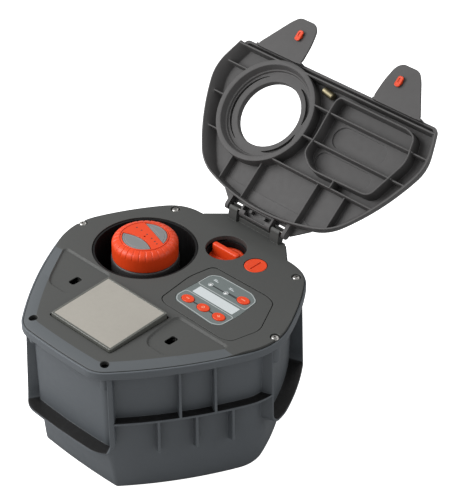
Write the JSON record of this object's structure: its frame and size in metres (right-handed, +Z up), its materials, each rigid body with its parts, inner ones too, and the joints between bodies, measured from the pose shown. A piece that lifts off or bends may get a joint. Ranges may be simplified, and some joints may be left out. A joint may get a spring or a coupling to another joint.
{
  "type": "irrigation controller",
  "caption": "Self-contained solar sprinkler controller: ribbed in-ground tub, hinged open lid, rotating pop-up spray head, push-button panel, filter cap and drain plug.",
  "frame": {"origin": "centre of the tub's flat underside, on the ground plane", "axes": "+Z up out of the tub, +Y towards the lid hinge, +X to the right of someone facing the hinge"},
  "size_m": [0.2752, 0.4157, 0.3081],
  "materials": {
    "tub_plastic": "fine moulded grain",
    "deck_plastic": "fine moulded grain",
    "lid_plastic": "fine moulded grain",
    "black_plastic": "satin moulded",
    "sleeve_plastic": "satin moulded",
    "orange_plastic": "satin moulded",
    "grey_insert": "satin moulded",
    "label_film": "satin film",
    "rubber": "moulded",
    "bright_steel": "bright zinc plated",
    "spring_steel": "drawn wire",
    "brass": "machined",
    "solar_film": "cast sheet, satin",
    "solar_cell": "coated wafer",
    "led_lens": "clear frosted",
    "circuit_green": "solder mask",
    "battery_wrap": "printed sleeve"
  },
  "bodies": {
    "base": {"base_tub": "tub_plastic", "battery_1": "battery_wrap", "battery_2": "battery_wrap", "battery_3": "battery_wrap", "battery_tray": "black_plastic", "circuit_board": "circuit_green", "control_label": "label_film", "control_plate": "deck_plastic", "deck_plate": "deck_plastic", "deck_screw_1": "bright_steel", "deck_screw_2": "bright_steel", "deck_screw_3": "bright_steel", "deck_screw_4": "bright_steel", "deck_screw_5": "bright_steel", "deck_screw_6": "bright_steel", "deck_seal": "rubber", "inlet_nipple": "black_plastic", "led_pipe_1": "led_lens", "led_pipe_2": "led_lens", "solar_cell": "solar_cell", "solar_window": "solar_film", "valve_motor": "bright_steel", "valve_mount": "black_plastic", "water_body": "black_plastic", "well_cup": "black_plastic"},
    "lid": {"lid_shell": "lid_plastic", "hinge_pin_left": "bright_steel", "hinge_pin_right": "bright_steel", "lid_magnet": "brass"},
    "lock_left": {"lid_lock_left": "orange_plastic"},
    "lock_right": {"lid_lock_right": "orange_plastic"},
    "riser": {"riser_tube": "black_plastic", "riser_bush": "grey_insert", "riser_spring": "spring_steel", "head_motor": "bright_steel"},
    "head": {"head_cap": "orange_plastic", "cap_insert_1": "grey_insert", "cap_insert_2": "grey_insert", "head_sleeve": "sleeve_plastic", "head_shaft": "grey_insert", "spray_nozzle": "grey_insert", "drive_gear": "grey_insert"},
    "pinion": {"drive_pinion": "brass"},
    "filter": {"filter_cap": "orange_plastic", "filter_basket": "grey_insert"},
    "plug": {"drain_plug": "orange_plastic"},
    "push_1": {"button_1": "orange_plastic"},
    "push_2": {"button_2": "orange_plastic"},
    "push_3": {"button_3": "orange_plastic"},
    "push_4": {"button_4": "orange_plastic"}
  },
  "joints": [
    {"name": "lid_hinge", "type": "hinge", "parent": "base", "child": "lid", "pos_m": [0, 0.11475, 0.1661], "axis": [1, 0, 0], "range_deg": [0, 139.1]},
    {"name": "lock_left_turn", "type": "hinge", "parent": "lid", "child": "lock_left", "pos_m": [-0.066, 0.24779, 0.29392], "axis": [0, 0.6547, -0.7559], "range_deg": [0, 90]},
    {"name": "lock_right_turn", "type": "hinge", "parent": "lid", "child": "lock_right", "pos_m": [0.066, 0.24779, 0.29392], "axis": [0, 0.6547, -0.7559], "range_deg": [0, 90]},
    {"name": "riser_slide", "type": "slide", "parent": "base", "child": "riser", "axis": [0, 0, 1], "range_m": [0, 0.04], "deforming": ["riser_spring"]},
    {"name": "head_turn", "type": "hinge", "parent": "riser", "child": "head", "pos_m": [-0.0562, 0.014, 0.1474], "axis": [0, 0, 1], "continuous": true},
    {"name": "pinion_spin", "type": "hinge", "parent": "riser", "child": "pinion", "pos_m": [-0.03717, 0.00513, 0.1245], "axis": [0, 0, 1], "continuous": true},
    {"name": "filter_turn", "type": "hinge", "parent": "base", "child": "filter", "pos_m": [0.0013, 0.0696, 0.137], "axis": [0, 0, 1], "range_deg": [0, 90]},
    {"name": "plug_turn", "type": "hinge", "parent": "base", "child": "plug", "pos_m": [0.0422, 0.0686, 0.155], "axis": [0, 0, 1], "range_deg": [0, 90]},
    {"name": "button_1_press", "type": "slide", "parent": "base", "child": "push_1", "axis": [0, 0, -1], "range_m": [0, 0.0008]},
    {"name": "button_2_press", "type": "slide", "parent": "base", "child": "push_2", "axis": [0, 0, -1], "range_m": [0, 0.0008]},
    {"name": "button_3_press", "type": "slide", "parent": "base", "child": "push_3", "axis": [0, 0, -1], "range_m": [0, 0.0008]},
    {"name": "button_4_press", "type": "slide", "parent": "base", "child": "push_4", "axis": [0, 0, -1], "range_m": [0, 0.0008]}
  ],
  "couplings": [
    {"joint": "pinion_spin", "follows": "head_turn", "ratio": -2}
  ]
}
